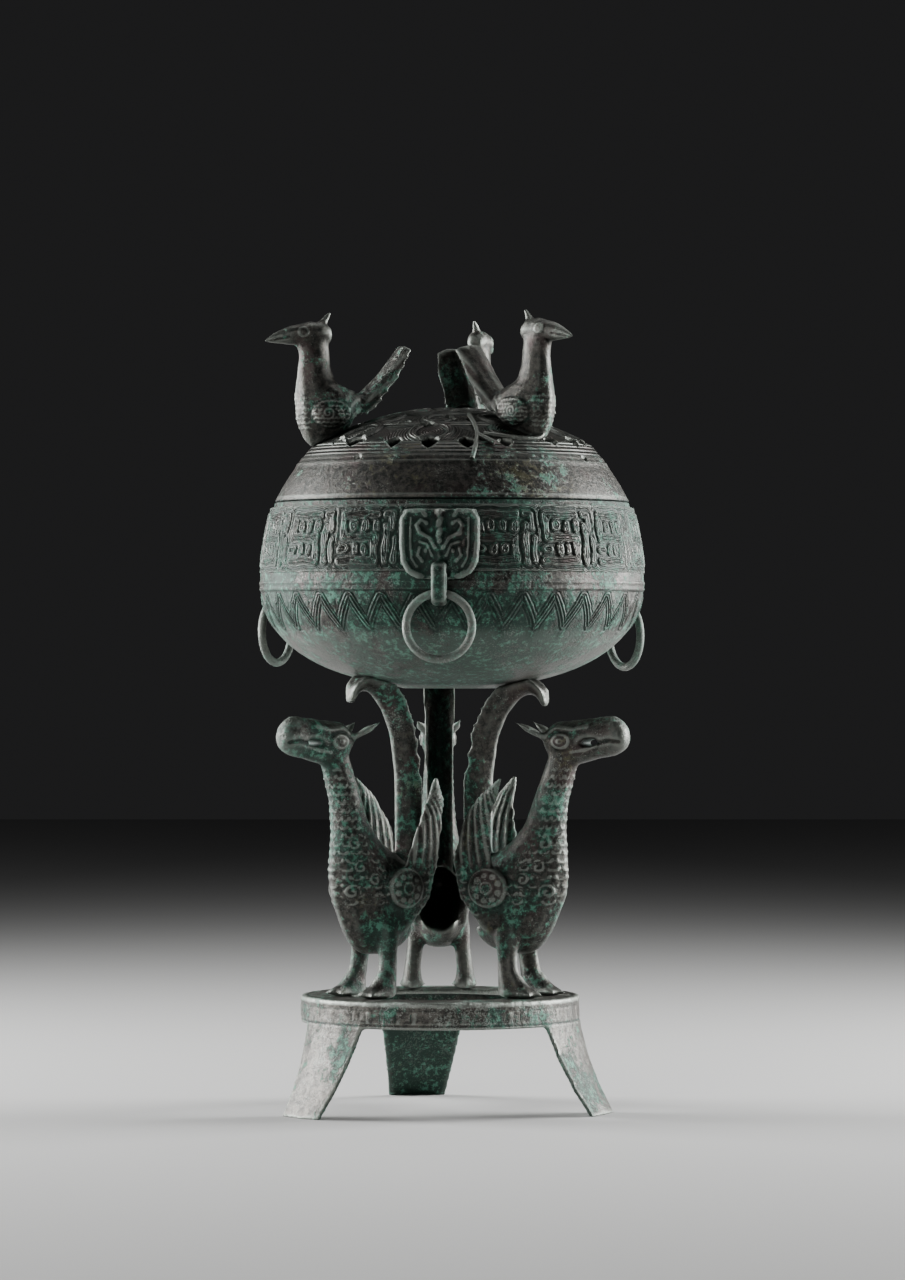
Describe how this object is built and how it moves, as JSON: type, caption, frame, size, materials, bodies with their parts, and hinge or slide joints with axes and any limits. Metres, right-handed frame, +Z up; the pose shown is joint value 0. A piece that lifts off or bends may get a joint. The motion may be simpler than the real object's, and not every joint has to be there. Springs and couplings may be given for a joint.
{
  "type": "bronze dou vessel",
  "caption": "Round lidded bronze vessel with a pierced lid topped by crested birds, mask lugs with drop rings, winged beast supports and a ring base on splayed legs.",
  "frame": {"origin": "middle of the bounding box's underside, at the level of the three feet", "axes": "+Z up; the view of the picture looks along +Y, with +X to the right"},
  "size_m": [0.1758, 0.1838, 0.3583],
  "materials": {
    "bowl_bronze": "dark patinated cast bronze with green corrosion",
    "lid_bronze": "dark patinated cast bronze with earthy spots",
    "bird_bronze": "dark patinated cast bronze",
    "beast_bronze": "green and grey patinated cast bronze",
    "mask_bronze": "green patinated cast bronze",
    "ring_bronze": "green patinated cast bronze",
    "base_bronze": "grey-brown patinated cast bronze"
  },
  "bodies": {
    "vessel": {"base_stand": "base_bronze", "beast_back": "beast_bronze", "beast_left": "beast_bronze", "beast_right": "beast_bronze", "bird_back": "bird_bronze", "bird_left": "bird_bronze", "bird_right": "bird_bronze", "bowl": "bowl_bronze", "lid": "lid_bronze", "mask_front": "mask_bronze", "mask_left": "mask_bronze", "mask_right": "mask_bronze"},
    "ring_front_body": {"ring_front": "ring_bronze"},
    "ring_left_body": {"ring_left": "ring_bronze"},
    "ring_right_body": {"ring_right": "ring_bronze"}
  },
  "joints": [
    {"name": "ring_front_swing", "type": "hinge", "parent": "vessel", "child": "ring_front_body", "pos_m": [-0.00524, -0.08648, 0.2313], "axis": [-0.998, 0.0628, 0], "range_deg": [-15, 100]},
    {"name": "ring_left_swing", "type": "hinge", "parent": "vessel", "child": "ring_left_body", "pos_m": [-0.07972, 0.04278, 0.2293], "axis": [0.4462, 0.8949, 0], "range_deg": [-15, 100]},
    {"name": "ring_right_swing", "type": "hinge", "parent": "vessel", "child": "ring_right_body", "pos_m": [0.07941, 0.04486, 0.2273], "axis": [0.4695, -0.8829, 0], "range_deg": [-15, 100]}
  ]
}
